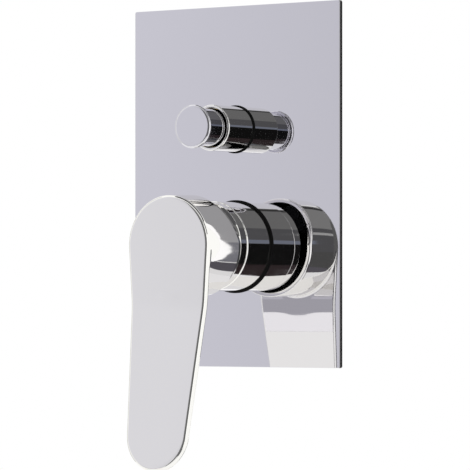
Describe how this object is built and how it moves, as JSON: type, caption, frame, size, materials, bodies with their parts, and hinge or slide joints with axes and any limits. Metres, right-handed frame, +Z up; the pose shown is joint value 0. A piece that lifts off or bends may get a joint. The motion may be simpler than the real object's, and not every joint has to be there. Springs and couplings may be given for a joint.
{
  "type": "concealed shower mixer",
  "caption": "Wall-mounted single-lever mixer with a mirror-polished cover plate, a pull-out diverter knob and its valve body behind the wall.",
  "frame": {"origin": "centre of the fixing holes on the valve body's rear mounting face, level with the cover plate's middle", "axes": "+X right, +Z up, +Y into the wall; the user stands at -Y"},
  "size_m": [0.126, 0.1152, 0.2297],
  "materials": {
    "valve_body": "cast and machined brass, bead blasted",
    "check_valve": "moulded acetal",
    "strainer": "punched stainless steel",
    "black_rubber": "moulded nitrile rubber",
    "cartridge_plastic": "moulded glass-filled polyamide",
    "ceramic": "lapped alumina ceramic",
    "carrier_plastic": "moulded acetal",
    "steel": "turned stainless steel",
    "nut_brass": "turned brass",
    "foam": "closed-cell foam",
    "plate_chrome": "polished and chrome plated sheet",
    "chrome": "bright chrome plate",
    "screw_steel": "blackened steel",
    "spindle_brass": "turned brass"
  },
  "bodies": {
    "mixer": {"valve_body": "valve_body", "fixing_flange": "valve_body", "hot_union": "valve_body", "cold_union": "valve_body", "bath_union": "valve_body", "shower_union": "valve_body", "hot_check_valve": "check_valve", "cold_check_valve": "check_valve", "hot_strainer": "strainer", "cold_strainer": "strainer", "port_seals": "black_rubber", "cartridge_base": "cartridge_plastic", "cartridge_housing": "cartridge_plastic", "fixed_disc": "ceramic", "cartridge_nut": "nut_brass", "neck_oring": "black_rubber", "plate_gasket": "foam", "cover_plate": "plate_chrome", "sleeve_ring": "black_rubber", "main_sleeve": "chrome", "dome_cap": "chrome", "diverter_cage": "check_valve", "cage_orings": "black_rubber", "diverter_spring": "steel", "diverter_bonnet": "nut_brass", "bonnet_oring": "black_rubber", "spindle_oring": "black_rubber", "knob_ring": "black_rubber", "knob_sleeve": "chrome"},
    "rotor": {"cartridge_rotor": "cartridge_plastic", "pivot_pin": "steel"},
    "lever": {"lever_handle": "chrome", "lever_grub_screw": "screw_steel", "cartridge_stem": "steel"},
    "disc": {"disc_carrier": "carrier_plastic", "moving_disc": "ceramic"},
    "diverter": {"diverter_knob": "chrome", "knob_grub_screw": "screw_steel", "diverter_spindle": "spindle_brass", "valve_discs": "black_rubber", "spindle_clips": "steel"}
  },
  "joints": [
    {"name": "lever_turn", "type": "hinge", "parent": "mixer", "child": "rotor", "pos_m": [0, -0.06, -0.03], "axis": [0, 1, 0], "range_deg": [-45, 45]},
    {"name": "lever_lift", "type": "hinge", "parent": "rotor", "child": "lever", "pos_m": [0, -0.06, -0.03], "axis": [-1, 0, 0], "range_deg": [0, 22]},
    {"name": "disc_slide", "type": "slide", "parent": "rotor", "child": "disc", "axis": [0, 0, -1], "range_m": [0, 0.0027]},
    {"name": "diverter_pull", "type": "slide", "parent": "mixer", "child": "diverter", "axis": [0, -1, 0], "range_m": [0, 0.007], "stiffness_N_per_m": 300, "springref_m": -0.004, "deforming": ["diverter_spring"]}
  ],
  "couplings": [
    {"joint": "disc_slide", "follows": "lever_lift", "m_per_rad": 0.007}
  ]
}
